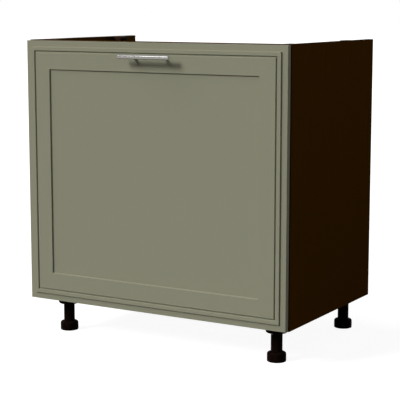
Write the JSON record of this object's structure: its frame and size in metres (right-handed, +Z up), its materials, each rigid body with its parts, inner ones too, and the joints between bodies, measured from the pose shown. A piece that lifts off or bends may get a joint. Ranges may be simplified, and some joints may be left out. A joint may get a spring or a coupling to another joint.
{
  "type": "sink base cabinet",
  "caption": "Sink base cabinet with a wide framed pull-out front, a round T-bar handle, an open back for plumbing and adjustable legs.",
  "frame": {"origin": "middle of the object's base, on the floor", "axes": "+X to the right seen from the front, +Y towards the back, +Z up"},
  "size_m": [0.8, 0.5642, 0.82],
  "materials": {
    "carcass_board": "dark brown melamine board",
    "edge_band": "dark brown edge strip",
    "front_lacquer": "matt sage lacquer on milled fibreboard",
    "drawer_board": "light grey melamine board",
    "handle_steel": "satin steel",
    "zinc_steel": "zinc plated",
    "ball_steel": "polished steel",
    "leg_plastic": "black moulded plastic",
    "block_plastic": "dark brown moulded plastic",
    "cage_plastic": "dark grey plastic strip",
    "bumper_rubber": "clear soft pads",
    "beech": "fluted beech"
  },
  "bodies": {
    "carcass": {"side_panel_left": "carcass_board", "side_panel_right": "carcass_board", "bottom_panel": "carcass_board", "front_rail": "carcass_board", "rear_rail_upper": "carcass_board", "rear_rail_lower": "carcass_board", "edge_bands": "edge_band", "dowels": "beech", "cam_bolts": "zinc_steel", "cam_housings": "zinc_steel", "worktop_block_screws": "zinc_steel", "leg_screws": "zinc_steel", "runner_outer_screws": "zinc_steel", "worktop_block_front_left": "block_plastic", "leg_socket_front_left": "leg_plastic", "leg_tube_front_left": "leg_plastic", "worktop_block_front_right": "block_plastic", "leg_socket_front_right": "leg_plastic", "leg_tube_front_right": "leg_plastic", "worktop_block_rear_left": "block_plastic", "leg_socket_rear_left": "leg_plastic", "leg_tube_rear_left": "leg_plastic", "worktop_block_rear_right": "block_plastic", "leg_socket_rear_right": "leg_plastic", "leg_tube_rear_right": "leg_plastic", "runner_outer_left": "zinc_steel", "runner_outer_right": "zinc_steel"},
    "drawer": {"drawer_front": "front_lacquer", "handle_bar": "handle_steel", "handle_post_left": "handle_steel", "handle_post_right": "handle_steel", "handle_screws": "zinc_steel", "front_bumpers": "bumper_rubber", "drawer_side_left": "drawer_board", "drawer_side_right": "drawer_board", "drawer_box_front": "drawer_board", "drawer_back": "drawer_board", "drawer_bottom": "drawer_board", "front_screws": "zinc_steel", "drawer_corner_screws": "zinc_steel", "drawer_bottom_screws": "zinc_steel", "runner_inner_left": "zinc_steel", "runner_inner_right": "zinc_steel", "runner_inner_screws": "zinc_steel"},
    "middle_left": {"runner_middle_left": "zinc_steel"},
    "middle_right": {"runner_middle_right": "zinc_steel"},
    "cage_outer_left": {"ball_cage_outer_left": "cage_plastic", "balls_outer_left": "ball_steel"},
    "cage_outer_right": {"ball_cage_outer_right": "cage_plastic", "balls_outer_right": "ball_steel"},
    "cage_inner_left": {"ball_cage_inner_left": "cage_plastic", "balls_inner_left": "ball_steel"},
    "cage_inner_right": {"ball_cage_inner_right": "cage_plastic", "balls_inner_right": "ball_steel"},
    "foot_front_left": {"leg_foot_front_left": "leg_plastic"},
    "foot_front_right": {"leg_foot_front_right": "leg_plastic"},
    "foot_rear_left": {"leg_foot_rear_left": "leg_plastic"},
    "foot_rear_right": {"leg_foot_rear_right": "leg_plastic"}
  },
  "joints": [
    {"name": "drawer_slide", "type": "slide", "parent": "carcass", "child": "drawer", "axis": [0, -1, 0], "range_m": [0, 0.45]},
    {"name": "middle_left_slide", "type": "slide", "parent": "carcass", "child": "middle_left", "axis": [0, -1, 0], "range_m": [0, 0.225]},
    {"name": "middle_right_slide", "type": "slide", "parent": "carcass", "child": "middle_right", "axis": [0, -1, 0], "range_m": [0, 0.225]},
    {"name": "cage_outer_left_slide", "type": "slide", "parent": "carcass", "child": "cage_outer_left", "axis": [0, -1, 0], "range_m": [0, 0.1125]},
    {"name": "cage_outer_right_slide", "type": "slide", "parent": "carcass", "child": "cage_outer_right", "axis": [0, -1, 0], "range_m": [0, 0.1125]},
    {"name": "cage_inner_left_slide", "type": "slide", "parent": "carcass", "child": "cage_inner_left", "axis": [0, -1, 0], "range_m": [0, 0.3375]},
    {"name": "cage_inner_right_slide", "type": "slide", "parent": "carcass", "child": "cage_inner_right", "axis": [0, -1, 0], "range_m": [0, 0.3375]},
    {"name": "foot_front_left_screw", "type": "slide", "parent": "carcass", "child": "foot_front_left", "axis": [0, 0, -1], "range_m": [0, 0.025]},
    {"name": "foot_front_right_screw", "type": "slide", "parent": "carcass", "child": "foot_front_right", "axis": [0, 0, -1], "range_m": [0, 0.025]},
    {"name": "foot_rear_left_screw", "type": "slide", "parent": "carcass", "child": "foot_rear_left", "axis": [0, 0, -1], "range_m": [0, 0.025]},
    {"name": "foot_rear_right_screw", "type": "slide", "parent": "carcass", "child": "foot_rear_right", "axis": [0, 0, -1], "range_m": [0, 0.025]}
  ],
  "couplings": [
    {"joint": "middle_left_slide", "follows": "drawer_slide", "ratio": 0.5},
    {"joint": "middle_right_slide", "follows": "drawer_slide", "ratio": 0.5},
    {"joint": "cage_outer_left_slide", "follows": "drawer_slide", "ratio": 0.25},
    {"joint": "cage_outer_right_slide", "follows": "drawer_slide", "ratio": 0.25},
    {"joint": "cage_inner_left_slide", "follows": "drawer_slide", "ratio": 0.75},
    {"joint": "cage_inner_right_slide", "follows": "drawer_slide", "ratio": 0.75}
  ]
}
